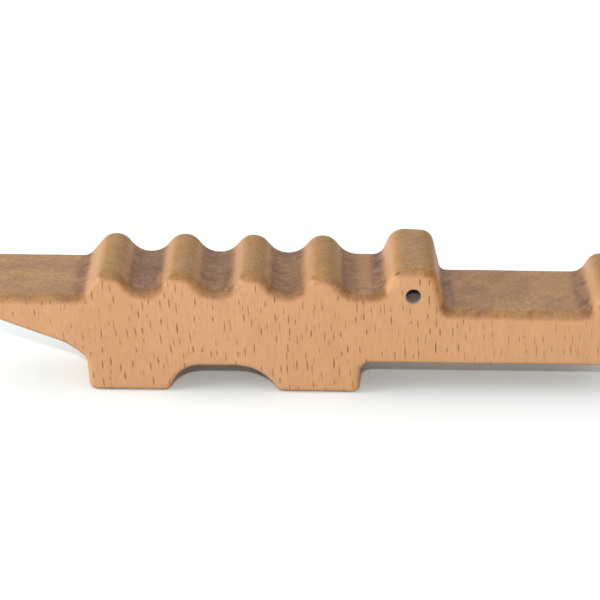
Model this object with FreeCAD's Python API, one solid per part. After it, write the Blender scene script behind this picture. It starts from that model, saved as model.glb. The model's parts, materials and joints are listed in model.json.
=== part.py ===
import FreeCAD, Part
import math
import os

# A crocodile shaped from one solid block of beech: a sawn side outline, both long
# edges rounded over, and one eye hole drilled through. Millimetres. X runs from the
# tail tip to the nose, Y across the thickness, Z up from the floor that the feet
# stand on. The origin is under the middle of the bounding box.

LENGTH = 225.0  # tail tip to nose
THICKNESS = 36.0  # the board's thickness
EDGE_ROUND = 2.2  # roundover along every edge of the two flat sides
TOLERANCE = 0.001  # two lengths this close are the same

# Heights above the floor.
TAIL_TOP_Z = 35.2
VALLEY_Z = 36.9
PEAK_Z = 43.7
HEAD_Z = 46.75
HEAD_FALL = 0.55  # the head's top drops this much towards the snout
SNOUT_Z = 31.25
NOSE_Z = 38.2
JAW_Z = 11.2
ARCH_Z = 9.4

# Tail: a wedge under a level top, with a round tip. Its underside steepens near the leg.
TAIL_UNDER_ANGLE = 21.0
TAIL_TIP_R = 2.6
TAIL_ROOT_S = 35.7
TAIL_ROOT_ANGLE = 38.0
TAIL_ROOT_R = 20.0
TAIL_CROTCH_R = 3.0  # where the tail runs into the rear leg

# Four humps on the back. Stations are distances from the tail tip.
HUMP_COUNT = 4
HUMP_FIRST_S = 50.6
HUMP_PITCH = 23.75
HUMP_FLANK_ANGLE = 51.5
HUMP_PEAK_R = 5.9
HUMP_VALLEY_R = 7.8
HUMP_START_R = 4.0  # where the first hump rises from the tail

# Head, with a level step behind it.
NECK_R = 4.0
HEAD_BACK_S = 142.0  # station of the flank's foot
HEAD_BACK_ANGLE = 69.0
HEAD_BACK_R = 6.2
HEAD_FRONT_S = 162.8
HEAD_FRONT_ANGLE = 76.0
HEAD_FRONT_R = 4.8
SNOUT_START_R = 2.4

# Eye: one hole through the whole thickness.
EYE_S = 152.0
EYE_Z = 36.6
EYE_R = 2.5
EYE_RIM_ROUND = 0.4

# Nose.
NOSE_S = 211.1  # station of the flank's foot
NOSE_FLANK_ANGLE = 60.0
NOSE_FOOT_R = 4.5
NOSE_BACK_R = 4.4
NOSE_FRONT_R = 4.6
CHIN_R = 5.0

# Legs and the arch between them.
REAR_FOOT_BACK_S = 43.1
REAR_LEG_LEAN = 4.0
REAR_FOOT_FRONT_S = 70.1
ARCH_REAR_ANGLE = 68.0
ARCH_REAR_R = 10.0
FRONT_FOOT_BACK_S = 107.4
ARCH_FRONT_ANGLE = 57.0
ARCH_FRONT_R = 16.0
FRONT_FOOT_FRONT_S = 134.8
JAW_CROTCH_R = 3.6
FOOT_CORNER_R = 2.5


def run_for(rise, angle):
    """Horizontal run of a flank that climbs by rise at angle degrees."""
    return rise / math.tan(math.radians(angle))


def fillet_drop(radius, angle):
    """How far a rounded peak or valley stops short of its sharp corner."""
    return radius * (1.0 / math.cos(math.radians(angle)) - 1.0)


def tail_apex_station():
    """Station of the sharp corner that the round tail tip is cut from."""
    half_angle = math.radians(TAIL_UNDER_ANGLE / 2.0)
    return -TAIL_TIP_R * (1.0 / math.tan(half_angle) - 1.0)


def tail_root_z():
    """Height of the tail's underside where it starts to steepen."""
    run = TAIL_ROOT_S - tail_apex_station()
    return TAIL_TOP_Z - run * math.tan(math.radians(TAIL_UNDER_ANGLE))


def hump_corners():
    """Corners of the back, from the tail to the neck, as station, height, radius."""
    half_pitch = HUMP_PITCH / 2.0
    peak_corner_z = PEAK_Z + fillet_drop(HUMP_PEAK_R, HUMP_FLANK_ANGLE)
    valley_corner_z = peak_corner_z - half_pitch * math.tan(math.radians(HUMP_FLANK_ANGLE))
    start_run = run_for(peak_corner_z - TAIL_TOP_Z, HUMP_FLANK_ANGLE)
    corners = [(HUMP_FIRST_S - start_run, TAIL_TOP_Z, HUMP_START_R)]
    for index in range(HUMP_COUNT):
        peak_s = HUMP_FIRST_S + index * HUMP_PITCH
        corners.append((peak_s, peak_corner_z, HUMP_PEAK_R))
        if index < HUMP_COUNT - 1:
            corners.append((peak_s + half_pitch, valley_corner_z, HUMP_VALLEY_R))
    last_peak_s = HUMP_FIRST_S + (HUMP_COUNT - 1) * HUMP_PITCH
    neck_run = run_for(peak_corner_z - VALLEY_Z, HUMP_FLANK_ANGLE)
    corners.append((last_peak_s + neck_run, VALLEY_Z, HUMP_VALLEY_R))
    return corners


def head_corners():
    """Corners of the head bump, from the neck to the snout."""
    head_front_z = HEAD_Z - HEAD_FALL
    back_top_s = HEAD_BACK_S + run_for(HEAD_Z - VALLEY_Z, HEAD_BACK_ANGLE)
    front_top_s = HEAD_FRONT_S - run_for(head_front_z - SNOUT_Z, HEAD_FRONT_ANGLE)
    return [
        (HEAD_BACK_S, VALLEY_Z, NECK_R),
        (back_top_s, HEAD_Z, HEAD_BACK_R),
        (front_top_s, head_front_z, HEAD_FRONT_R),
        (HEAD_FRONT_S, SNOUT_Z, SNOUT_START_R),
    ]


def nose_corners():
    """Corners of the nose bump, the nose end and the chin."""
    return [
        (NOSE_S, SNOUT_Z, NOSE_FOOT_R),
        (NOSE_S + run_for(NOSE_Z - SNOUT_Z, NOSE_FLANK_ANGLE), NOSE_Z, NOSE_BACK_R),
        (LENGTH, NOSE_Z, NOSE_FRONT_R),
        (LENGTH, JAW_Z, CHIN_R),
    ]


def leg_corners():
    """Corners of the underside, from the jaw back to the tail."""
    lean = math.tan(math.radians(REAR_LEG_LEAN))
    slope = math.tan(math.radians(TAIL_ROOT_ANGLE))
    # The leaning back of the rear leg meets the steep root of the tail.
    foot_z = tail_root_z() - (REAR_FOOT_BACK_S - TAIL_ROOT_S) * slope
    crotch_z = foot_z / (1.0 - lean * slope)
    crotch_s = REAR_FOOT_BACK_S - crotch_z * lean
    return [
        (FRONT_FOOT_FRONT_S, JAW_Z, JAW_CROTCH_R),
        (FRONT_FOOT_FRONT_S, 0.0, FOOT_CORNER_R),
        (FRONT_FOOT_BACK_S, 0.0, FOOT_CORNER_R),
        (FRONT_FOOT_BACK_S - run_for(ARCH_Z, ARCH_FRONT_ANGLE), ARCH_Z, ARCH_FRONT_R),
        (REAR_FOOT_FRONT_S + run_for(ARCH_Z, ARCH_REAR_ANGLE), ARCH_Z, ARCH_REAR_R),
        (REAR_FOOT_FRONT_S, 0.0, FOOT_CORNER_R),
        (REAR_FOOT_BACK_S, 0.0, FOOT_CORNER_R),
        (crotch_s, crotch_z, TAIL_CROTCH_R),
        (TAIL_ROOT_S, tail_root_z(), TAIL_ROOT_R),
    ]


def outline_corners():
    """All corners of the side outline, clockwise from the tail tip."""
    tail_tip = [(tail_apex_station(), TAIL_TOP_Z, TAIL_TIP_R)]
    return tail_tip + hump_corners() + head_corners() + nose_corners() + leg_corners()


def corner_arc(before, corner, after, radius):
    """Start, middle and end point of the arc that rounds one corner."""
    back = (before - corner).normalize()
    ahead = (after - corner).normalize()
    half = back.getAngle(ahead) / 2.0
    setback = radius / math.tan(half)
    inward = (back + ahead).normalize()
    middle = corner + inward * (radius / math.sin(half) - radius)
    return corner + back * setback, middle, corner + ahead * setback


def rounded_outline(corners):
    """Closed wire of straight runs and tangent arcs, in the plane of the near side."""
    points = [
        FreeCAD.Vector(station - LENGTH / 2.0, -THICKNESS / 2.0, height)
        for station, height, _ in corners
    ]
    arcs = []
    for index, (_, _, radius) in enumerate(corners):
        after = points[(index + 1) % len(points)]
        arcs.append(corner_arc(points[index - 1], points[index], after, radius))
    edges = []
    for index, (start, middle, end) in enumerate(arcs):
        next_start = arcs[(index + 1) % len(arcs)][0]
        edges.append(Part.Arc(start, middle, end).toShape())
        edges.append(Part.LineSegment(end, next_start).toShape())
    return Part.Wire(edges)


def side_edges(solid):
    """The edges that bound the two flat sides."""
    edges = []
    for edge in solid.Edges:
        box = edge.BoundBox
        off_plane = abs(abs(box.Center.y) - THICKNESS / 2.0)
        if box.YLength < TOLERANCE and off_plane < TOLERANCE:
            edges.append(edge)
    return edges


def block():
    """The sawn outline through the board's thickness, with both sides rounded over."""
    face = Part.Face(rounded_outline(outline_corners()))
    solid = face.extrude(FreeCAD.Vector(0, THICKNESS, 0))
    return solid.makeFillet(EDGE_ROUND, side_edges(solid))


def is_eye_rim(edge):
    """Whether an edge is a whole or part circle of the eye hole's radius."""
    if edge.Curve.TypeId != "Part::GeomCircle":
        return False
    off_centre = math.hypot(edge.Curve.Center.x - EYE_S + LENGTH / 2.0, edge.Curve.Center.z - EYE_Z)
    return off_centre < TOLERANCE and abs(edge.Curve.Radius - EYE_R) < TOLERANCE


def drill_eye(solid):
    """Drill the eye hole through and break both of its rims."""
    start = FreeCAD.Vector(EYE_S - LENGTH / 2.0, -THICKNESS, EYE_Z)
    drill = Part.makeCylinder(EYE_R, 2.0 * THICKNESS, start, FreeCAD.Vector(0, 1, 0))
    drilled = solid.cut(drill)
    rims = [edge for edge in side_edges(drilled) if is_eye_rim(edge)]
    return drilled.makeFillet(EYE_RIM_ROUND, rims)


os.makedirs("parts", exist_ok=True)
crocodile_body = drill_eye(block())
crocodile_body.exportStep("parts/crocodile_body.step")
box = crocodile_body.BoundBox
print("valid", crocodile_body.isValid(), "solids", len(crocodile_body.Solids))
print("box", box.XMin, box.XMax, box.YMin, box.YMax, box.ZMin, box.ZMax)
print("volume cm3", crocodile_body.Volume / 1000.0)
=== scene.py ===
"""A crocodile cut from one block of beech: its surface, its wood and a plain studio."""
import json
import logging
import math
from dataclasses import dataclass, field
from enum import Enum, IntEnum

import bpy
import numpy as np
from mathutils import Matrix, Vector, geometry, noise


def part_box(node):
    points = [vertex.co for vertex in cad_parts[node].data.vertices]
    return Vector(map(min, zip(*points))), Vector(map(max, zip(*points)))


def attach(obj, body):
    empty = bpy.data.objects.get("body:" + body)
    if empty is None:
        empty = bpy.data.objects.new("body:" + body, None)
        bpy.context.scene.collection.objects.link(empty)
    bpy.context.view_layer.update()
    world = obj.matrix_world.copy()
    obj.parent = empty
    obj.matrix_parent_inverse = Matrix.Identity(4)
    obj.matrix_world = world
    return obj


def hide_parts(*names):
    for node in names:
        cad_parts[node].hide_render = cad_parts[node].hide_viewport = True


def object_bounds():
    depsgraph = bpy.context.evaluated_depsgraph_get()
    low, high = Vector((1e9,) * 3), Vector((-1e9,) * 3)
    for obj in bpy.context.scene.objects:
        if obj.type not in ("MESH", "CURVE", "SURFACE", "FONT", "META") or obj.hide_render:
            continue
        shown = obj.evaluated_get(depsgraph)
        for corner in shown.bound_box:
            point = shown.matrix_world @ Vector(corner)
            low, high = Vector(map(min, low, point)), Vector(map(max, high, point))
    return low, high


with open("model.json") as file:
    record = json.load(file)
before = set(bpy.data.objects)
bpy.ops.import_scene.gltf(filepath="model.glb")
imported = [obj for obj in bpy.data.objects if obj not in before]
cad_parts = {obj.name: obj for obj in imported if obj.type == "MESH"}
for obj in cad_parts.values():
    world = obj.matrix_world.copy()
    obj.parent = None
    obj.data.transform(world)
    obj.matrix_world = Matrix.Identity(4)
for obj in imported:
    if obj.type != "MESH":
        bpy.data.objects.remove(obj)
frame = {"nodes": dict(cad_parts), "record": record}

LOG = logging.getLogger("crocodile")
MM = 0.001
BODY_NODE = "crocodile_body"
WOOD_SLOT = "oiled_beech"
CAD_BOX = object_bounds()
HALF = 0.5
MICRON = 1e-6

Triple = tuple[float, float, float]
Colour = tuple[float, float, float, float]
Span = tuple[float, float]


# Shader maths


@dataclass(frozen=True)
class Signal:
    """A number on its way through a node tree, with Python's arithmetic."""

    graph: "Graph"
    socket: bpy.types.NodeSocket

    def __add__(self, other: "Signal | float") -> "Signal":
        """Sum."""
        return self.graph.math("ADD", self, other)

    __radd__ = __add__

    def __sub__(self, other: "Signal | float") -> "Signal":
        """Difference."""
        return self.graph.math("SUBTRACT", self, other)

    def __rsub__(self, other: "Signal | float") -> "Signal":
        """Difference with the number on the left."""
        return self.graph.math("SUBTRACT", other, self)

    def __mul__(self, other: "Signal | float") -> "Signal":
        """Product."""
        return self.graph.math("MULTIPLY", self, other)

    __rmul__ = __mul__

    def __truediv__(self, other: "Signal | float") -> "Signal":
        """Quotient."""
        return self.graph.math("DIVIDE", self, other)

    def __rtruediv__(self, other: "Signal | float") -> "Signal":
        """Quotient with the number on the left."""
        return self.graph.math("DIVIDE", other, self)

    def __abs__(self) -> "Signal":
        """Absolute value."""
        return self.graph.math("ABSOLUTE", self)

    def fraction(self) -> "Signal":
        """The part after the decimal point."""
        return self.graph.math("FRACT", self)

    def ramp(self, low: float, high: float) -> "Signal":
        """A smooth step.

        Args:
            low: The value at which the result is 0.
            high: The value at which the result is 1; it may be below low.

        Returns:
            A number between 0 and 1.
        """
        flipped = high < low
        ends = (high, low) if flipped else (low, high)
        settings = {"interpolation_type": "SMOOTHSTEP", "clamp": True}
        inputs = {"Value": self, "From Min": ends[0], "From Max": ends[1]}
        inputs["To Min"] = 1.0 if flipped else 0.0
        inputs["To Max"] = 0.0 if flipped else 1.0
        return self.graph.add("ShaderNodeMapRange", settings, inputs).number("Result")


@dataclass(frozen=True)
class Arrow:
    """A vector or a colour on its way through a node tree."""

    graph: "Graph"
    socket: bpy.types.NodeSocket

    def __add__(self, other: "Arrow | Triple") -> "Arrow":
        """Sum."""
        return self.graph.vector_math("ADD", self, other)

    __radd__ = __add__

    def __sub__(self, other: "Arrow | Triple") -> "Arrow":
        """Difference."""
        return self.graph.vector_math("SUBTRACT", self, other)

    def __rsub__(self, other: "Arrow | Triple") -> "Arrow":
        """Difference with the vector on the left."""
        return self.graph.vector_math("SUBTRACT", other, self)

    def __mul__(self, other: "Arrow | Triple") -> "Arrow":
        """Product, axis by axis."""
        return self.graph.vector_math("MULTIPLY", self, other)

    __rmul__ = __mul__

    def scaled(self, factor: "Signal | float") -> "Arrow":
        """This vector made longer or shorter by one number."""
        settings = {"operation": "SCALE"}
        inputs = {"Vector": self, "Scale": factor}
        return self.graph.add("ShaderNodeVectorMath", settings, inputs).arrow("Vector")

    def parts(self) -> tuple[Signal, Signal, Signal]:
        """The X, Y and Z of this vector."""
        node = self.graph.add("ShaderNodeSeparateXYZ", {}, {"Vector": self})
        return node.number("X"), node.number("Y"), node.number("Z")


@dataclass(frozen=True)
class Placed:
    """A node in the tree, whose outputs are read by name."""

    graph: "Graph"
    node: bpy.types.Node

    def number(self, name: str) -> Signal:
        """An output that is a number."""
        return Signal(self.graph, self.node.outputs[name])

    def arrow(self, name: str) -> Arrow:
        """An output that is a vector or a colour."""
        return Arrow(self.graph, self.node.outputs[name])


Number = Signal | float
Tint = Arrow | Colour
Value = Signal | Arrow | float | tuple[float, ...]


class MixWay(Enum):
    """How two colours are put together."""

    BLEND = "MIX"
    STAIN = "MULTIPLY"


class MixSocket(IntEnum):
    """A Mix node's colour sockets, which share their names with others."""

    FACTOR = 0
    FIRST = 6
    SECOND = 7
    RESULT = 2


class Graph:
    """A node tree of a material or of the world, written as expressions."""

    def __init__(self, owner: bpy.types.Material | bpy.types.World) -> None:
        """Start an empty tree.

        Args:
            owner: The material or world that the tree belongs to.
        """
        owner.use_nodes = True
        self.tree = owner.node_tree
        self.tree.nodes.clear()

    def add(
        self, kind: str, settings: dict[str, object], inputs: dict[str | int, Value]
    ) -> Placed:
        """Place a node.

        Args:
            kind: The node's type.
            settings: Its properties, set before its sockets are touched.
            inputs: A value or a link for each socket, by name or by number.

        Returns:
            The placed node.
        """
        node = self.tree.nodes.new(kind)
        for name, setting in settings.items():
            setattr(node, name, setting)
        for name, value in inputs.items():
            socket = node.inputs[name]
            if isinstance(value, (Signal, Arrow)):
                self.tree.links.new(value.socket, socket)
            else:
                socket.default_value = value
        return Placed(self, node)

    def math(self, operation: str, *values: Number) -> Signal:
        """Arithmetic on numbers.

        Args:
            operation: The Math node's operation.
            values: Its inputs, in order.

        Returns:
            The result.
        """
        settings = {"operation": operation}
        inputs = dict(enumerate(values))
        return self.add("ShaderNodeMath", settings, inputs).number("Value")

    def vector_math(self, operation: str, *values: Arrow | Triple) -> Arrow:
        """Arithmetic on vectors.

        Args:
            operation: The Vector Math node's operation.
            values: Its inputs, in order.

        Returns:
            The result.
        """
        settings = {"operation": operation}
        inputs = dict(enumerate(values))
        return self.add("ShaderNodeVectorMath", settings, inputs).arrow("Vector")

    def dot(self, one: Arrow, two: Arrow | Triple) -> Signal:
        """The dot product of two vectors."""
        settings = {"operation": "DOT_PRODUCT"}
        inputs = {0: one, 1: two}
        return self.add("ShaderNodeVectorMath", settings, inputs).number("Value")

    def join(self, x: Number, y: Number, z: Number) -> Arrow:
        """A vector made of three numbers."""
        inputs = {"X": x, "Y": y, "Z": z}
        return self.add("ShaderNodeCombineXYZ", {}, inputs).arrow("Vector")

    def blend(self, low: Tint, high: Tint, factor: Number) -> Arrow:
        """The low colour at factor 0 and the high colour at factor 1."""
        return self._mix(MixWay.BLEND, low, high, factor)

    def tint(self, base: Tint, multiplier: Tint, factor: Number) -> Arrow:
        """A colour multiplied by another colour, by a factor."""
        return self._mix(MixWay.STAIN, base, multiplier, factor)

    def _mix(self, way: MixWay, first: Tint, second: Tint, factor: Number) -> Arrow:
        """Place a Mix node for colours.

        Args:
            way: How the colours are put together.
            first: The colour at factor 0.
            second: The colour that comes in with the factor.
            factor: How much of it comes in.

        Returns:
            The mixed colour.
        """
        settings = {"data_type": "RGBA", "blend_type": way.value, "clamp_factor": True}
        inputs = {
            MixSocket.FACTOR: factor,
            MixSocket.FIRST: first,
            MixSocket.SECOND: second,
        }
        placed = self.add("ShaderNodeMix", settings, inputs)
        return Arrow(self, placed.node.outputs[MixSocket.RESULT])

    def attribute(self, name: str) -> Signal:
        """A number that the mesh holds at each point."""
        settings = {"attribute_name": name}
        return self.add("ShaderNodeAttribute", settings, {}).number("Fac")

    def cells(self, place: Arrow, scale: float) -> Placed:
        """Scattered points, one to a cell.

        Args:
            place: Where they are read.
            scale: How many cells there are to the unit.

        Returns:
            The node, with the nearest point's place, its distance and a random colour.
        """
        settings = {"voronoi_dimensions": "3D", "feature": "F1"}
        inputs = {"Vector": place, "Scale": scale, "Randomness": 1.0}
        return self.add("ShaderNodeTexVoronoi", settings, inputs)


# Wood


def linear(red: int, green: int, blue: int) -> Colour:
    """A display colour as linear light.

    Args:
        red: Red, 0 to 255.
        green: Green, 0 to 255.
        blue: Blue, 0 to 255.

    Returns:
        The linear colour, with an alpha of 1.
    """

    def level(value: int) -> float:
        """One channel."""
        share = value / 255.0
        return share / 12.92 if share <= 0.04045 else ((share + 0.055) / 1.055) ** 2.4

    return level(red), level(green), level(blue), 1.0


@dataclass(frozen=True)
class Clouds:
    """A recipe for cloudy noise around one half.

    The scale is in cells to the millimetre. The stretch is below 1 along an axis on
    which the clouds are drawn out. The span turns the noise into patches.
    """

    scale: float
    detail: float
    roughness: float
    stretch: Triple = (1.0, 1.0, 1.0)
    span: Span = (0.0, 1.0)

    def read(self, place: Arrow) -> Signal:
        """The noise at a place.

        Args:
            place: Position in millimetres.

        Returns:
            A number between 0 and 1.
        """
        inputs = {
            "Vector": place * self.stretch,
            "Scale": self.scale,
            "Detail": self.detail,
            "Roughness": self.roughness,
        }
        settings = {"noise_dimensions": "3D"}
        return place.graph.add("ShaderNodeTexNoise", settings, inputs).number("Fac")

    def wave(self, place: Arrow) -> Signal:
        """The noise at a place, around zero."""
        return self.read(place) - HALF

    def patches(self, place: Arrow) -> Signal:
        """The noise at a place, spread to 0 and 1."""
        return self.read(place).ramp(*self.span)


@dataclass(frozen=True)
class Surface:
    """What the finish knows about a spot on the wood.

    place is in millimetres. cut is how squarely the surface cuts the fibres. along and
    across are how far it faces the snout and out of the block's side. hollow is 1 in a
    tight hollow and -1 on a tight ridge. end_grain is how far it looks cut across.
    """

    place: Arrow
    cut: Signal
    along: Signal
    across: Signal
    hollow: Signal
    end_grain: Signal


@dataclass(frozen=True)
class EndGrain:
    """Where fibres look cut across: early on slopes, abruptly at the rounded edges, and
    more in the hollows as painted shade.
    """

    ragged: Clouds = Clouds(0.40, 4.0, 0.7)
    ragged_depth: float = 0.34
    hollow: Span = (0.1, 0.7)
    hollow_shade_gain: float = 0.12
    slope: Span = (0.25, 0.60)
    slope_share: float = 0.40
    edge: Span = (0.49, 0.68)
    edge_side: Span = (0.08, 0.30)
    crest: Span = (0.50, 0.92)

    def share(
        self, place: Arrow, cut: Signal, across: Signal, hollow: Signal
    ) -> Signal:
        """How far a spot looks like end grain.

        Args:
            place: Position in millimetres.
            cut: How squarely the surface cuts the fibres.
            across: How far it faces out of the block's side.
            hollow: How tight a hollow it is in.

        Returns:
            A number between 0 and 1.
        """
        rough = cut + self.ragged.wave(place) * self.ragged_depth
        # End grain made darker in the hollows: painted shade.
        rough = rough + hollow.ramp(*self.hollow) * self.hollow_shade_gain
        gradual = rough.ramp(*self.crest)
        abrupt = rough.ramp(*self.edge)
        turned = gradual + (abrupt - gradual) * across.ramp(*self.edge_side)
        sloped = rough.ramp(*self.slope) * self.slope_share
        return sloped + turned * (1.0 - self.slope_share)


@dataclass(frozen=True)
class Pith:
    """The tree's middle, which stands upright behind the block, in millimetres."""

    x: float = -50.7
    y: float = 128.0

    def offsets(self, place: Arrow) -> tuple[Signal, Signal, Signal]:
        """How far a place is from the pith.

        Args:
            place: Position in millimetres.

        Returns:
            The offset along X, the depth in front of the pith, and the height.
        """
        x, y, z = place.parts()
        return x - self.x, self.y - y, z


PITH = Pith()


@dataclass(frozen=True)
class GrowthRings:
    """Growth rings round the pith, each dark at its outer edge, in millimetres."""

    width: float = 4.4
    wobble: Clouds = Clouds(0.05, 5.0, 0.62, stretch=(1.0, 1.0, 0.2))
    wobble_depth: float = 6.0
    years: Clouds = Clouds(0.13, 1.0, 0.5)
    year_spread: float = 3.0
    latewood: Span = (0.20, 0.80)
    year_end: Span = (1.0, 0.82)
    strong: Clouds = Clouds(0.16, 3.0, 0.6, span=(0.34, 0.60))
    faintest: float = 0.25

    def darkness(self, place: Arrow) -> Signal:
        """How dark the latewood is.

        Args:
            place: Position in millimetres.

        Returns:
            A number between 0 and 1.
        """
        graph = place.graph
        across, depth, _ = PITH.offsets(place)
        radius = graph.math("SQRT", across * across + depth * depth)
        radius = radius + self.wobble.wave(place) * self.wobble_depth
        year = self.years.read(graph.join(radius, 0.0, 0.0)) * self.year_spread
        phase = (radius / self.width + year).fraction()
        band = phase.ramp(*self.latewood) * phase.ramp(*self.year_end)
        strength = self.strong.patches(place) * (1.0 - self.faintest)
        return band * (strength + self.faintest)


@dataclass(frozen=True)
class RayLayer:
    """Medullary rays of one size: ribbons that run from the pith outwards.

    Lengths are millimetres on the sawn side of the block.
    """

    cell_across: float
    cell_up: float
    cell_deep: float
    half_width: float
    half_height: float
    strength: float
    seed: float


@dataclass(frozen=True)
class Rays:
    """All the rays: upright spindles, one to a cell, that run towards the pith."""

    big: RayLayer = RayLayer(3.0, 6.0, 34.0, 0.29, 2.25, 1.0, 0.0)
    small: RayLayer = RayLayer(2.3, 4.4, 21.0, 0.16, 1.10, 0.40, 37.0)
    lean: float = -0.09
    drift: Clouds = Clouds(0.03, 1.0, 0.5)
    drift_reach: float = 3.0
    shortest: float = 0.55
    length_spread: float = 0.75
    soft_end: Span = (0.0, 0.5)
    rarity: Span = (0.20, 0.42)
    palest: float = 0.40
    side: Span = (0.40, 0.90)
    snout: Span = (42.0, 66.0)
    snout_loss: float = 0.42
    end_grain_loss: float = 0.6

    def layer(self, place: Arrow, layer: RayLayer) -> Signal:
        """The rays of one size.

        Args:
            place: Position in millimetres.
            layer: The size and number of these rays.

        Returns:
            The strength of the ray here, 0 to 1.
        """
        across, depth, z = PITH.offsets(place)
        side_depth = PITH.y - CAD_BOX[0].y / MM
        drift = self.drift.wave(place) * self.drift_reach
        foot = across * side_depth / depth + drift - z * self.lean
        cell = (1.0 / layer.cell_across, 1.0 / layer.cell_deep, 1.0 / layer.cell_up)
        seed = (layer.seed, 0.0, layer.seed)
        lattice = (place.graph.join(foot, depth, z) + seed) * cell
        cells = place.graph.cells(lattice, 1.0)
        offset_across, _, offset_up = (lattice - cells.arrow("Position")).parts()
        chance, size, shade = cells.arrow("Color").parts()
        sideways = abs(offset_across) * (layer.cell_across / layer.half_width)
        upward = offset_up * (layer.cell_up / layer.half_height)
        upward = upward / (size * self.length_spread + self.shortest)
        spindle = (1.0 - sideways - upward * upward).ramp(*self.soft_end)
        shown = chance.ramp(*self.rarity) * (shade * (1.0 - self.palest) + self.palest)
        return spindle * shown * layer.strength

    def fading(self, surface: Surface) -> Signal:
        """How far the rays show: less on the snout and on the end grain."""
        snout = surface.place.parts()[0].ramp(*self.snout)
        kept = 1.0 - surface.end_grain * self.end_grain_loss
        return surface.across.ramp(*self.side) * (1.0 - snout * self.snout_loss) * kept


@dataclass(frozen=True)
class Pores:
    """Vessels: fine streaks along the fibres, and dots where they are cut across."""

    streaks: Clouds = Clouds(2.6, 2.0, 0.6, stretch=(1.0, 1.0, 0.07))
    dots: Clouds = Clouds(2.2, 2.0, 0.7)
    dot_contrast: float = 1.5

    def wave(self, place: Arrow, end_grain: Signal) -> Signal:
        """The vessels, around zero and low in a pore.

        Args:
            place: Position in millimetres.
            end_grain: How far the surface looks like end grain.

        Returns:
            A number around zero.
        """
        dots = self.dots.wave(place) * self.dot_contrast
        return self.streaks.wave(place) * (1.0 - end_grain) + dots * end_grain


@dataclass(frozen=True)
class Amber:
    """A warm band where the rounded edge begins to cut the fibres, partly oil and partly
    painted shade.

    The painted shade makes it strongest in the hollows and on the slopes that face the
    snout, away from the left lamp; those slopes' rounded edges get painted shade as well.
    """

    multiplier: Colour = (0.84, 0.70, 0.42, 1.0)
    patchy: Clouds = Clouds(0.20, 3.0, 0.6, span=(0.42, 0.62))
    band_cut: Span = (0.46, 0.62)
    band_side: Span = (0.22, 0.50)
    # Surfaces that face the snout, away from the left lamp, where shade is painted.
    shaded_side: Span = (0.15, 0.65)
    hollow: Span = (0.05, 0.45)
    band_everywhere: float = 0.15
    band_in_patches: float = 0.45
    band_on_shaded_side: float = 0.35
    shade_in_hollows: float = 0.45
    slope_top: Span = (0.04, 0.35)
    slope_side: Span = (0.97, 0.75)
    slope_everywhere: float = 0.12
    slope_in_patches: float = 0.50

    def colour_in(self, surface: Surface, colour: Arrow) -> Arrow:
        """Stain the wood with oil and paint shade on it.

        Args:
            surface: The spot on the wood.
            colour: Its colour so far.

        Returns:
            The colour with the oil's band and the painted shade.
        """
        band = surface.cut.ramp(*self.band_cut) * surface.across.ramp(*self.band_side)
        patchy = self.patchy.patches(surface.place)
        shaded_side = surface.along.ramp(*self.shaded_side)
        strength = patchy * self.band_in_patches + self.band_everywhere
        # Painted shade: more on surfaces facing the snout, away from the left lamp, and in
        # the hollows.
        strength = strength + shaded_side * self.band_on_shaded_side
        strength = strength + surface.hollow.ramp(*self.hollow) * self.shade_in_hollows
        # Painted shade on the rounded edges of slopes that face the snout.
        slope = surface.across.ramp(*self.slope_top)
        slope = slope * surface.across.ramp(*self.slope_side)
        slope = shaded_side * slope * (1.0 - band)
        oil_and_shade = patchy * self.slope_in_patches + self.slope_everywhere
        return colour.graph.tint(colour, self.multiplier, band * strength + slope * oil_and_shade)


@dataclass(frozen=True)
class HollowShade:
    """Painted shade: a violet darkening of the end grain in the hollows, darkest in spots
    in the tightest ones.
    """

    multiplier: Colour = (0.69, 0.65, 0.71, 1.0)
    deep_shade: Colour = (0.52, 0.46, 0.56, 1.0)
    patchy: Clouds = Clouds(0.30, 2.0, 0.6, stretch=(1.0, 1.0, 0.6), span=(0.36, 0.60))
    hollow: Span = (0.0, 0.5)
    palest: float = 0.55
    spots: Clouds = Clouds(0.24, 4.0, 0.7, stretch=(1.0, 0.8, 1.0), span=(0.46, 0.66))
    tightest: Span = (0.25, 0.85)

    def colour_in(self, surface: Surface, colour: Arrow) -> Arrow:
        """Paint shade into the hollows.

        Args:
            surface: The spot on the wood.
            colour: Its colour so far.

        Returns:
            The colour with the painted shade.
        """
        # Painted shade in the hollows, in patches.
        patchy = self.patchy.patches(surface.place) * (1.0 - self.palest)
        weight = surface.hollow.ramp(*self.hollow) * (patchy + self.palest)
        graph = colour.graph
        hollow_shaded = graph.tint(colour, self.multiplier, weight * surface.end_grain)
        # Darkest painted shade, in spots in the tightest hollows.
        spots = self.spots.patches(surface.place)
        deep_shaded = surface.hollow.ramp(*self.tightest) * spots
        return graph.tint(hollow_shaded, self.deep_shade, deep_shaded)


@dataclass(frozen=True)
class Specks:
    """A few pale filled pores in the end grain."""

    colour: Colour = linear(190, 168, 140)
    scale: float = 0.44
    radius: Span = (0.17, 0.06)
    rarity: Span = (0.45, 0.60)
    faintest: float = 0.15
    shade_spread: float = 0.60
    end_grain: Span = (0.75, 1.0)

    def colour_in(self, surface: Surface, colour: Arrow) -> Arrow:
        """Scatter the specks.

        Args:
            surface: The spot on the wood.
            colour: Its colour so far.

        Returns:
            The colour with the specks.
        """
        graph = colour.graph
        cells = graph.cells(surface.place, self.scale)
        chance, _, shade = cells.arrow("Color").parts()
        dot = cells.number("Distance").ramp(*self.radius) * chance.ramp(*self.rarity)
        weight = dot * (shade * self.shade_spread + self.faintest)
        weight = weight * surface.end_grain.ramp(*self.end_grain)
        return graph.blend(colour, self.colour, weight)


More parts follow.
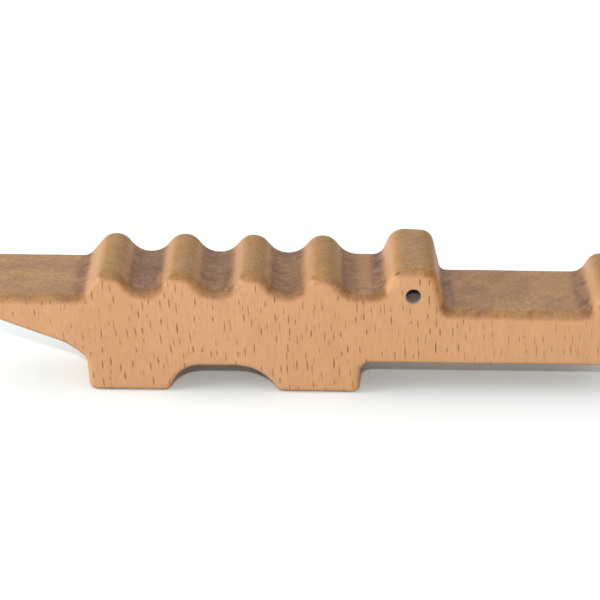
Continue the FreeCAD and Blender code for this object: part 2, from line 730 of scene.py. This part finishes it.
@dataclass(frozen=True)
class Chip:
    """A torn ray on the back edge of the head, in millimetres."""

    colour: Colour = linear(96, 62, 42)
    middle: Triple = (33.9, -17.0, 44.3)
    direction: tuple[float, float] = (0.8, 0.6)
    half_width: float = 0.35
    half_length: float = 1.7
    soft_edge: Span = (0.0, 0.5)
    strength: float = 0.8

    def colour_in(self, surface: Surface, colour: Arrow) -> Arrow:
        """Mark the tear.

        Args:
            surface: The spot on the wood.
            colour: Its colour so far.

        Returns:
            The colour with the tear.
        """
        x, _, z = (surface.place - self.middle).parts()
        ahead = (x * self.direction[0] + z * self.direction[1]) / self.half_length
        sideways = abs(x * self.direction[1] - z * self.direction[0]) / self.half_width
        torn = (1.0 - sideways - ahead * ahead).ramp(*self.soft_edge)
        return colour.graph.blend(colour, self.colour, torn * self.strength)


@dataclass(frozen=True)
class OiledBeech:
    """Beech with an oil finish, pale on its sides and dark where the fibres are cut, with
    painted shade in its hollows and on the slopes and edges away from the left lamp, and
    painted light and shade in the eye hole.
    """

    fibre: Triple = (0.17, -0.21, 0.963)
    end_share: EndGrain = EndGrain()
    rings: GrowthRings = GrowthRings()
    rays: Rays = Rays()
    pores: Pores = Pores()
    # The oil band with its painted shade, and painted shade in the hollows.
    oil_and_painted_shade: tuple[Amber | HollowShade, ...] = (Amber(), HollowShade())
    spots: tuple[Specks | Chip, ...] = (Specks(), Chip())
    side_colour: Colour = linear(186, 139, 101)
    side_warm: Colour = linear(183, 137, 96)
    side_clouds: Clouds = Clouds(0.035, 3.0, 0.55, (1.0, 1.0, 0.35), (0.34, 0.66))
    side_rings: float = 0.14
    # Rounded edges darkened, partly as oil and partly as painted shade, except where they
    # face the tail and the left lamp.
    edge_oil_and_shade: Colour = (0.87, 0.74, 0.63, 1.0)
    edge_cut: Span = (0.225, 0.52)
    edge_side: Span = (0.30, 0.60)
    edge_back: Span = (-0.60, -0.15)
    end_brown: Colour = linear(156, 119, 79)
    end_violet: Colour = linear(141, 106, 76)
    end_clouds: Clouds = Clouds(0.11, 3.0, 0.55, (1.0, 1.0, 0.35), (0.34, 0.66))
    end_olive: Colour = linear(144, 108, 62)
    olive_clouds: Clouds = Clouds(0.13, 3.0, 0.6, span=(0.30, 0.60))
    olive_ridge: Span = (0.0, -0.6)
    olive_everywhere: float = 0.35
    olive_in_patches: float = 0.6
    end_rings: float = 0.40
    ring_stain: Colour = (0.74, 0.68, 0.64, 1.0)
    ray_stain: Colour = (0.36, 0.26, 0.18, 1.0)
    mottle: Clouds = Clouds(0.75, 4.0, 0.75, stretch=(1.0, 1.0, 0.5))
    mottle_contrast: float = 0.85
    pore_contrast: float = 0.34
    end_pore_contrast: float = 0.50
    # The eye hole's grey lining is painted shade, with painted light from behind on the
    # shaded wall.
    painted_bore_shading: Colour = linear(143, 132, 122)
    roughness: float = 0.50
    end_roughness: float = 0.08
    pore_roughness: float = 0.16
    hollow_polish: float = 0.06
    pore_relief: float = 0.6
    ray_relief: float = 0.5
    bump_strength: float = 0.22
    bump_depth: float = 0.06 * MM
    specular: float = 0.26

    def material(self) -> bpy.types.Material:
        """Make the material.

        Returns:
            The material, ready for the body's slot.
        """
        made = bpy.data.materials.new(WOOD_SLOT)
        graph = Graph(made)
        surface = self._surface(graph)
        place, end_grain = surface.place, surface.end_grain
        rings = self.rings.darkness(place)
        big = self.rays.layer(place, self.rays.big)
        small = self.rays.layer(place, self.rays.small)
        pores = self.pores.wave(place, end_grain)

        side = self._side(surface, rings)
        end = self._end(surface, rings)
        colour = graph.blend(side, end, end_grain)
        # Oil band and painted shade.
        for overlay in self.oil_and_painted_shade:
            colour = overlay.colour_in(surface, colour)
        shown = (big + small) * self.rays.fading(surface)
        colour = graph.tint(colour, self.ray_stain, shown)
        contrast = end_grain * self.end_pore_contrast + self.pore_contrast
        mottle = self.mottle.wave(place) * end_grain * self.mottle_contrast
        colour = colour.scaled(1.0 + pores * contrast + mottle)
        for spot in self.spots:
            colour = spot.colour_in(surface, colour)
        # Painted shade and light inside the eye hole.
        drilled = graph.attribute("drilled")
        colour = graph.blend(colour, self.painted_bore_shading, drilled)

        gloss = pores * self.pore_roughness - surface.hollow * self.hollow_polish
        bump_inputs = {
            "Height": pores * self.pore_relief - big * self.ray_relief,
            "Strength": self.bump_strength,
            "Distance": self.bump_depth,
        }
        shader_inputs = {
            "Base Color": colour,
            "Roughness": self.roughness + end_grain * self.end_roughness + gloss,
            "Normal": graph.add("ShaderNodeBump", {}, bump_inputs).arrow("Normal"),
            "Specular IOR Level": self.specular,
        }
        shader = graph.add("ShaderNodeBsdfPrincipled", {}, shader_inputs)
        graph.add("ShaderNodeOutputMaterial", {}, {"Surface": shader.arrow("BSDF")})
        return made

    def _surface(self, graph: Graph) -> Surface:
        """Read the spot that is being coloured.

        Args:
            graph: The material's tree.

        Returns:
            The spot on the wood.
        """
        coordinates = graph.add("ShaderNodeTexCoord", {}, {}).arrow("Object")
        place = coordinates.scaled(1.0 / MM)
        normal = graph.add("ShaderNodeNewGeometry", {}, {}).arrow("Normal")
        hollow = graph.attribute("relief")
        cut = abs(graph.dot(normal, self.fibre))
        along, outward, _ = normal.parts()
        across = abs(outward)
        end_grain = self.end_share.share(place, cut, across, hollow)
        return Surface(place, cut, along, across, hollow, end_grain)

    def _side(self, surface: Surface, rings: Signal) -> Arrow:
        """The wood along its fibres, its rounded edges darkened, partly as oil and partly
        as painted shade, except where they face the tail and the left lamp.

        Args:
            surface: The spot on the wood.
            rings: How dark the latewood is.

        Returns:
            The colour.
        """
        graph = rings.graph
        warmth = self.side_clouds.patches(surface.place)
        colour = graph.blend(self.side_colour, self.side_warm, warmth)
        colour = graph.tint(colour, self.ring_stain, rings * self.side_rings)
        # Rounded edges darkened, partly oil and partly painted shade; kept light where
        # they face the tail and the left lamp.
        oil_and_shade = surface.cut.ramp(*self.edge_cut) * surface.across.ramp(*self.edge_side)
        oil_and_shade = oil_and_shade * surface.along.ramp(*self.edge_back)
        return graph.tint(colour, self.edge_oil_and_shade, oil_and_shade)

    def _end(self, surface: Surface, rings: Signal) -> Arrow:
        """The wood across its fibres, with olive patches on the ridges.

        Args:
            surface: The spot on the wood.
            rings: How dark the latewood is.

        Returns:
            The colour.
        """
        graph = rings.graph
        violet = self.end_clouds.patches(surface.place)
        colour = graph.blend(self.end_brown, self.end_violet, violet)
        olive = self.olive_clouds.patches(surface.place) * self.olive_in_patches
        olive = surface.hollow.ramp(*self.olive_ridge) * (olive + self.olive_everywhere)
        colour = graph.blend(colour, self.end_olive, olive)
        return graph.tint(colour, self.ring_stain, rings * self.end_rings)


# Body


class Side(Enum):
    """A side of the block, by the way it faces along Y."""

    NEAR = -1.0
    FAR = 1.0


@dataclass(frozen=True)
class Outline:
    """The sawn outline: points, outward normals and bend, all in order.

    The bend is one over the radius, and positive in a hollow.
    """

    points: np.ndarray
    normals: np.ndarray
    bend: np.ndarray


@dataclass
class CrocodileBody:
    """The whole crocodile: one block, sawn, rounded over, drilled and sanded by hand.

    Lengths are metres.
    """

    spacing: float = 0.60 * MM
    softening: float = 0.55 * MM
    smoothing_reach: float = 3.0
    rows_across: int = 28
    edge_rows: int = 8
    side_spacing: float = 1.5 * MM
    side_clearance: float = 0.7
    side_tolerance: float = 1e-5
    bore_points: int = 64
    bore_rows: int = 12
    rim: float = 0.4 * MM
    rim_rows: int = 4
    sanding_depth: float = 0.07 * MM
    sanding_length: float = 17.0 * MM
    sanding_sideways: float = 0.5
    sanding_seed: int = 1
    sander_width: float = 9.0 * MM
    sole_height: float = 3.0 * MM
    side_offset: float = 7.0
    edge_unevenness: float = 0.10
    top_wear: float = 1.3 * MM
    top_wear_level: float = 0.5
    top_wear_gain: float = 2.0
    corner_share: float = 0.86
    corner_reach: float = 3.0 * MM
    bend_easing: float = 1.5 * MM
    tight_bend: float = 4.5 * MM
    edge_relief_loss: float = 0.8
    half_depth: float = 0.0
    vertices: list[Triple] = field(default_factory=list)
    faces: list[tuple[int, ...]] = field(default_factory=list)
    relief: list[float] = field(default_factory=list)
    drilled: dict[int, float] = field(default_factory=dict)

    def build(self) -> bpy.types.Object:
        """Build the sanded body from the frame's outline.

        Returns:
            The object, which dress later puts on the root body in place of its CAD node.
        """
        low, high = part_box(BODY_NODE)
        self.half_depth = (high.y - low.y) / 2.0
        outline, edge_round = self._read_outline()
        first_ring, last_ring = self._wrap(outline, edge_round)
        bore_rings = self._drill()
        self._fill_side(first_ring, bore_rings[0], Side.NEAR)
        self._fill_side(last_ring, bore_rings[1], Side.FAR)
        self._sand()
        return self._make_object()

    def _read_outline(self) -> tuple[Outline, float]:
        """Read the sawn outline where the frame's rounded edge begins.

        Returns:
            The outline, evenly spaced, and the radius of the rounded edge.
        """
        mesh = frame["nodes"][BODY_NODE].data
        places = np.array([vertex.co for vertex in mesh.vertices], float)
        start_y = np.abs(places[:, 1]).min()
        on_line = np.abs(places[:, 1] + start_y) < MICRON
        whole_microns = np.round(places * (1.0 / MICRON)).astype(int)
        keys = [tuple(key) for key in whole_microns]
        neighbours: dict[tuple[int, ...], set[tuple[int, ...]]] = {}
        for edge in mesh.edges:
            one, two = edge.vertices
            if on_line[one] and on_line[two] and keys[one] != keys[two]:
                neighbours.setdefault(keys[one], set()).add(keys[two])
                neighbours.setdefault(keys[two], set()).add(keys[one])
        start = min(neighbours)
        walk = [start]
        here, before = max(neighbours[start], key=lambda key: key[2]), start
        while here != start:
            walk.append(here)
            here, before = next(key for key in neighbours[here] if key != before), here
        corners = np.array([(key[0], key[2]) for key in walk], float) * MICRON
        return self._even_outline(corners), self.half_depth - start_y

    def _even_outline(self, corners: np.ndarray) -> Outline:
        """Space an outline evenly and ease its corners as sanding does.

        Args:
            corners: The outline's points, clockwise, in metres.

        Returns:
            The eased outline with its normals and bend.
        """
        closed = np.vstack([corners, corners[:1]])
        reach = np.concatenate([[0.0], np.cumsum(np.hypot(*np.diff(closed, axis=0).T))])
        count = round(reach[-1] / self.spacing)
        stations = np.linspace(0.0, reach[-1], count, endpoint=False)
        spaced = [np.interp(stations, reach, closed[:, axis]) for axis in (0, 1)]
        points = np.stack(spaced, axis=1)
        points = self._smooth(points, self.softening)
        ahead = np.roll(points, -1, axis=0) - np.roll(points, 1, axis=0)
        ahead /= np.linalg.norm(ahead, axis=1)[:, None]
        normals = np.stack([-ahead[:, 1], ahead[:, 0]], axis=1)
        turning = np.roll(ahead, -1, axis=0) - np.roll(ahead, 1, axis=0)
        bend = (turning * normals).sum(axis=1) / (2.0 * self.spacing)
        bend = self._smooth(bend[:, None], self.bend_easing)[:, 0]
        return Outline(points, normals, bend)

    def _smooth(self, values: np.ndarray, width: float) -> np.ndarray:
        """Smooth values that run round the outline.

        Args:
            values: One row to a point.
            width: The standard deviation of the smoothing, in metres.

        Returns:
            The smoothed values.
        """
        reach = math.ceil(self.smoothing_reach * width / self.spacing)
        offsets = np.arange(-reach, reach + 1)
        weights = np.exp(-0.5 * (offsets * self.spacing / width) ** 2)
        weights /= weights.sum()
        return sum(w * np.roll(values, k, axis=0) for w, k in zip(weights, offsets))

    def _add_ring(self, places: np.ndarray, relief: np.ndarray | float) -> list[int]:
        """Add a closed ring of points.

        Args:
            places: The points, one row each.
            relief: 1 in a tight hollow and -1 on a tight ridge, at each or at all.

        Returns:
            Their numbers in the mesh.
        """
        first = len(self.vertices)
        self.vertices.extend(map(tuple, places))
        self.relief.extend(np.broadcast_to(relief, len(places)).tolist())
        return list(range(first, first + len(places)))

    def _bridge(self, one: list[int], two: list[int]) -> None:
        """Join two rings of as many points with four-sided faces.

        Args:
            one: The first ring.
            two: The second ring.
        """
        for index in range(len(one)):
            after = (index + 1) % len(one)
            self.faces.append((one[index], one[after], two[after], two[index]))

    def _wrap(self, outline: Outline, edge_round: float) -> tuple[list[int], list[int]]:
        """Run the outline across the block, rounded over at both sides.

        Args:
            outline: The sawn outline.
            edge_round: The radius of the rounded edges.

        Returns:
            The rings at the near and the far side.
        """
        rows: list[Triple] = []
        steps = range(self.edge_rows)
        turns = [math.pi / 2.0 * (1.0 - step / self.edge_rows) for step in steps]
        rows.extend((1.0 - math.cos(turn), math.sin(turn), -1.0) for turn in turns)
        steps = range(self.rows_across + 1)
        rows.extend((0.0, 0.0, -1.0 + 2.0 * step / self.rows_across) for step in steps)
        turns.reverse()
        rows.extend((1.0 - math.cos(turn), math.sin(turn), 1.0) for turn in turns)
        near = self._edge_radii(outline, edge_round, Side.NEAR)
        far = self._edge_radii(outline, edge_round, Side.FAR)
        relief = np.clip(outline.bend * self.tight_bend, -1.0, 1.0)
        rings = []
        for inset, outward, side in rows:
            radius = near + (far - near) * (side + 1.0) / 2.0
            flat = outline.points - outline.normals * (inset * radius)[:, None]
            depth = side * (self.half_depth - radius * (1.0 - outward))
            places = np.stack([flat[:, 0], depth, flat[:, 1]], axis=1)
            kept = 1.0 - self.edge_relief_loss * outward
            rings.append(self._add_ring(places, relief * kept))
        for one, two in zip(rings, rings[1:]):
            self._bridge(one, two)
        return rings[0], rings[-1]

    def _edge_radii(
        self, outline: Outline, edge_round: float, side: Side
    ) -> np.ndarray:
        """The rounded edge's radius at each point, as the hand-held sander left it.

        Args:
            outline: The sawn outline.
            edge_round: The radius that the cutter made.
            side: The side that the edge is on.

        Returns:
            A radius for each point, wider along the near side's top and never wider
            than a corner allows.
        """
        places = outline.points / self.sander_width
        offset = self.side_offset * side.value
        waves = np.array([noise.noise(Vector((x, offset, z))) for x, z in places])
        facing = self.top_wear_level + self.top_wear_gain * outline.normals[:, 1]
        top_wear = self.top_wear if side is Side.NEAR else 0.0
        worn = top_wear * np.clip(facing, 0.0, 1.0)
        wished = (edge_round + worn) * (1.0 + self.edge_unevenness * waves)
        corner = self.corner_share / np.maximum(-outline.bend, 1.0)
        limited = np.minimum(wished, corner)
        reach = round(self.corner_reach / self.spacing)
        steps = range(-reach, reach + 1)
        lowest = np.min([np.roll(limited, step) for step in steps], axis=0)
        return self._smooth(lowest[:, None], self.bend_easing)[:, 0]

    def _drill(self) -> tuple[list[int], list[int]]:
        """Line the eye hole, with both rims broken.

        Returns:
            The rings of the hole's mouths at the near and the far side.
        """
        mounts = {mount["name"]: mount for mount in frame["record"]["mounts"]}
        bore = mounts["eye_bore"]
        radius = bore["dims"]["r_mm"] * MM
        centre_x, _, centre_z = bore["pos_m"]
        steps = range(self.rim_rows + 1)
        turns = [math.pi / 2.0 * step / self.rim_rows for step in steps]
        widths = [radius + self.rim * (1.0 - math.sin(turn)) for turn in turns]
        depths = [self.rim * (1.0 - math.cos(turn)) for turn in turns]
        mouth = list(zip(widths, depths))
        profile = [(wide, -self.half_depth + deep) for wide, deep in mouth]
        wall = self.half_depth - self.rim
        shares = [step / self.bore_rows for step in range(1, self.bore_rows)]
        profile += [(radius, -wall + 2.0 * wall * share) for share in shares]
        profile += [(wide, self.half_depth - deep) for wide, deep in reversed(mouth)]
        angles = np.linspace(0.0, 2.0 * math.pi, self.bore_points, endpoint=False)
        rings = []
        for wide, y in profile:
            x = centre_x + wide * np.cos(angles)
            z = centre_z + wide * np.sin(angles)
            ring = self._add_ring(np.stack([x, np.full(len(x), y), z], axis=1), 0.0)
            drilled = 1.0 - (wide - radius) / self.rim
            self.drilled.update(dict.fromkeys(ring, drilled))
            rings.append(ring)
        for one, two in zip(rings, rings[1:]):
            self._bridge(one, two)
        return rings[0], rings[-1]

    def _fill_side(self, rim: list[int], hole: list[int], side: Side) -> None:
        """Fill one flat side between its edge and the eye hole.

        Args:
            rim: The ring at the side's edge.
            hole: The ring of the eye hole's mouth.
            side: The side that is filled.
        """
        edge = np.array([self.vertices[index] for index in rim])[:, [0, 2]]
        mouth = np.array([self.vertices[index] for index in hole])[:, [0, 2]]
        inner = self._side_points(edge, mouth)
        points = np.vstack([edge, mouth, inner])
        size, holes = len(edge), len(mouth)
        edges = [(index, (index + 1) % size) for index in range(size)]
        edges += [(size + index, size + (index + 1) % holes) for index in range(holes)]
        scaled = [Vector(point) for point in points / MM]
        keep_inside = 1
        found = geometry.delaunay_2d_cdt(
            scaled, edges, [], keep_inside, self.side_tolerance
        )
        flat, triangles, sources = found[0], found[2], found[3]
        depth = side.value * self.half_depth
        places = np.array([(point.x * MM, depth, point.y * MM) for point in flat])
        numbers: list[int] = []
        for place, source in zip(places, sources):
            first = source[0] if source else len(points)
            if first < size:
                numbers.append(rim[first])
            elif first < size + holes:
                numbers.append(hole[first - size])
            else:
                numbers.extend(self._add_ring(place[None, :], 0.0))
        corners_of = [places[list(triangle)] for triangle in triangles]
        middles = np.array([corners.mean(axis=0) for corners in corners_of])
        in_hole = self._inside(middles[:, [0, 2]], mouth)
        for triangle in (t for t, outside in zip(triangles, ~in_hole) if outside):
            corners = [numbers[index] for index in triangle]
            if side is Side.FAR:
                corners.reverse()
            self.faces.append(tuple(corners))

    def _side_points(self, edge: np.ndarray, mouth: np.ndarray) -> np.ndarray:
        """Points inside a flat side, clear of its edges.

        Args:
            edge: The side's edge.
            mouth: The eye hole's mouth.

        Returns:
            The points, one row each.
        """
        low, high = edge.min(axis=0), edge.max(axis=0)
        row_gap = self.side_spacing * math.sqrt(3.0) / 2.0
        rows = np.arange(low[1], high[1], row_gap)
        grid = []
        for number, z in enumerate(rows):
            start = low[0] + HALF * self.side_spacing * (number % 2)
            grid.extend((x, z) for x in np.arange(start, high[0], self.side_spacing))
        points = np.array(grid)
        inside = self._inside(points, edge) & ~self._inside(points, mouth)
        points = points[inside]
        borders = np.vstack([edge, mouth])
        offsets = points[:, None, :] - borders[None, :, :]
        gaps = np.linalg.norm(offsets, axis=2).min(axis=1)
        return points[gaps > self.side_clearance * self.side_spacing]

    def _inside(self, points: np.ndarray, loop: np.ndarray) -> np.ndarray:
        """Which points lie inside a closed loop.

        Args:
            points: The points to test.
            loop: The loop's corners.

        Returns:
            True or False for each point.
        """
        inside = np.zeros(len(points), bool)
        for (x1, z1), (x2, z2) in zip(loop, np.roll(loop, -1, axis=0)):
            if z1 == z2:
                continue
            spans = (z1 > points[:, 1]) != (z2 > points[:, 1])
            crossing = x1 + (points[:, 1] - z1) / (z2 - z1) * (x2 - x1)
            inside ^= spans & (points[:, 0] < crossing)
        return inside

    def _sand(self) -> None:
        """Give every face but the soles the slight waves that hand sanding leaves."""
        noise.seed_set(self.sanding_seed)
        for index, place in enumerate(self.vertices):
            spot = Vector(place)
            wave = noise.noise_vector(spot / self.sanding_length) * self.sanding_depth
            wave.y *= self.sanding_sideways
            wave.z *= min(1.0, place[2] / self.sole_height)
            self.vertices[index] = tuple(a + b for a, b in zip(place, wave))

    def _make_object(self) -> bpy.types.Object:
        """Turn the collected points and faces into an object.

        Returns:
            The object.
        """
        mesh = bpy.data.meshes.new("beech_body")
        mesh.from_pydata(self.vertices, [], self.faces)
        mesh.validate()
        mesh.shade_smooth()
        drilled = [self.drilled.get(index, 0.0) for index in range(len(self.vertices))]
        for name, values in (("relief", self.relief), ("drilled", drilled)):
            attribute = mesh.attributes.new(name, "FLOAT", "POINT")
            attribute.data.foreach_set("value", values)
        made = bpy.data.objects.new("beech_body", mesh)
        bpy.context.scene.collection.objects.link(made)
        return made

    def dress(self, piece: bpy.types.Object, finish: OiledBeech) -> None:
        """Give the body its wood and fix it to the frame.

        Args:
            piece: The body.
            finish: The wood.
        """
        piece.data.materials.append(finish.material())
        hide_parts(BODY_NODE)
        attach(piece, "root")


# Studio


class LampRole(Enum):
    """What each lamp is for."""

    KEY = "key"
    LEFT = "left"
    BACK = "back"


@dataclass(frozen=True)
class Lamp:
    """A rectangular softbox that points at the object."""

    role: LampRole
    azimuth: float
    elevation: float
    distance: float
    width: float
    height: float
    power: float

    def build(self, target: Vector) -> bpy.types.Object:
        """Place the lamp.

        Args:
            target: What it points at.

        Returns:
            The lamp.
        """
        turn, rise = math.radians(self.azimuth), math.radians(self.elevation)
        right, back = math.sin(turn) * math.cos(rise), -math.cos(turn) * math.cos(rise)
        towards = Vector((right, back, math.sin(rise)))
        data = bpy.data.lights.new(self.role.value, "AREA")
        data.shape = "ELLIPSE"
        data.size = self.width
        data.size_y = self.height
        data.energy = self.power
        made = bpy.data.objects.new(self.role.value, data)
        made.location = target + towards * self.distance
        made.rotation_euler = towards.to_track_quat("Z", "Y").to_euler()
        bpy.context.scene.collection.objects.link(made)
        return made


@dataclass(frozen=True)
class Studio:
    """A pale floor, soft lamps and the camera."""

    floor_size: float = 12.0
    floor_colour: Colour = (0.82, 0.87, 0.875, 1.0)
    floor_roughness: float = 0.9
    floor_specular: float = 0.1
    sky_colour: Colour = (1.0, 1.0, 1.0, 1.0)
    sky_strength: float = 0.76
    lens: float = 133.7
    sensor: float = 36.0
    distance: float = 0.743
    elevation: float = 25.0
    roll: float = 0.7
    aim_right: float = 1.7 * MM
    aim_height: float = 34.9 * MM
    lamps: tuple[Lamp, ...] = (
        Lamp(LampRole.KEY, -3.0, 32.2, 1.3, 0.07, 0.05, 7.9),
        Lamp(LampRole.LEFT, -82.0, 20.0, 1.5, 1.1, 0.9, 18.5),
        Lamp(LampRole.BACK, 180.0, 45.0, 1.5, 1.1, 1.1, 4.0),
    )

    def build(self, low: Vector, high: Vector) -> None:
        """Build the floor, the lamps, the sky and the camera.

        Args:
            low: The lowest corner of the object's box.
            high: The highest corner of the object's box.
        """
        centre = (low + high) / 2.0
        self._floor(low.z)
        for lamp in self.lamps:
            lamp.build(centre)
        self._sky()
        aim_x, aim_z = centre.x + self.aim_right, low.z + self.aim_height
        self._camera(Vector((aim_x, low.y, aim_z)))
        bpy.context.scene.view_settings.view_transform = "Standard"

    def _floor(self, height: float) -> None:
        """Lay the floor under the feet.

        Args:
            height: The height of the floor.
        """
        half = self.floor_size / 2.0
        square = ((-half, -half), (half, -half), (half, half), (-half, half))
        corners = [(x, y, height) for x, y in square]
        mesh = bpy.data.meshes.new("floor")
        mesh.from_pydata(corners, [], [(0, 1, 2, 3)])
        made = bpy.data.objects.new("floor", mesh)
        bpy.context.scene.collection.objects.link(made)
        material = bpy.data.materials.new("floor_paper")
        graph = Graph(material)
        inputs = {
            "Base Color": self.floor_colour,
            "Roughness": self.floor_roughness,
            "Specular IOR Level": self.floor_specular,
        }
        shader = graph.add("ShaderNodeBsdfPrincipled", {}, inputs)
        graph.add("ShaderNodeOutputMaterial", {}, {"Surface": shader.arrow("BSDF")})
        mesh.materials.append(material)

    def _sky(self) -> None:
        """Surround the scene with even white light."""
        world = bpy.data.worlds.new("studio_white")
        graph = Graph(world)
        inputs = {"Color": self.sky_colour, "Strength": self.sky_strength}
        light = graph.add("ShaderNodeBackground", {}, inputs).arrow("Background")
        graph.add("ShaderNodeOutputWorld", {}, {"Surface": light})
        bpy.context.scene.world = world

    def _camera(self, target: Vector) -> None:
        """Set up the camera, level but for a slight roll.

        Args:
            target: The point in the middle of the picture.
        """
        data = bpy.data.cameras.new("camera")
        data.lens = self.lens
        data.sensor_width = self.sensor
        made = bpy.data.objects.new("camera", data)
        tilt = Matrix.Rotation(math.radians(90.0 - self.elevation), 4, "X")
        roll = Matrix.Rotation(math.radians(self.roll), 4, "Z")
        turned = tilt @ roll
        back = turned.to_3x3() @ Vector((0.0, 0.0, 1.0))
        made.matrix_world = Matrix.Translation(target + back * self.distance) @ turned
        bpy.context.scene.collection.objects.link(made)
        bpy.context.scene.camera = made


def main() -> None:
    """Build the body, dress it, and set up the studio."""
    logging.basicConfig(level=logging.INFO, format="%(name)s: %(message)s")
    body = CrocodileBody()
    piece = body.build()
    body.dress(piece, OiledBeech())
    LOG.info("%s has %d faces", piece.name, len(piece.data.polygons))
    Studio().build(*CAD_BOX)
    LOG.info("studio is ready")


if __name__ == "__main__":
    main()
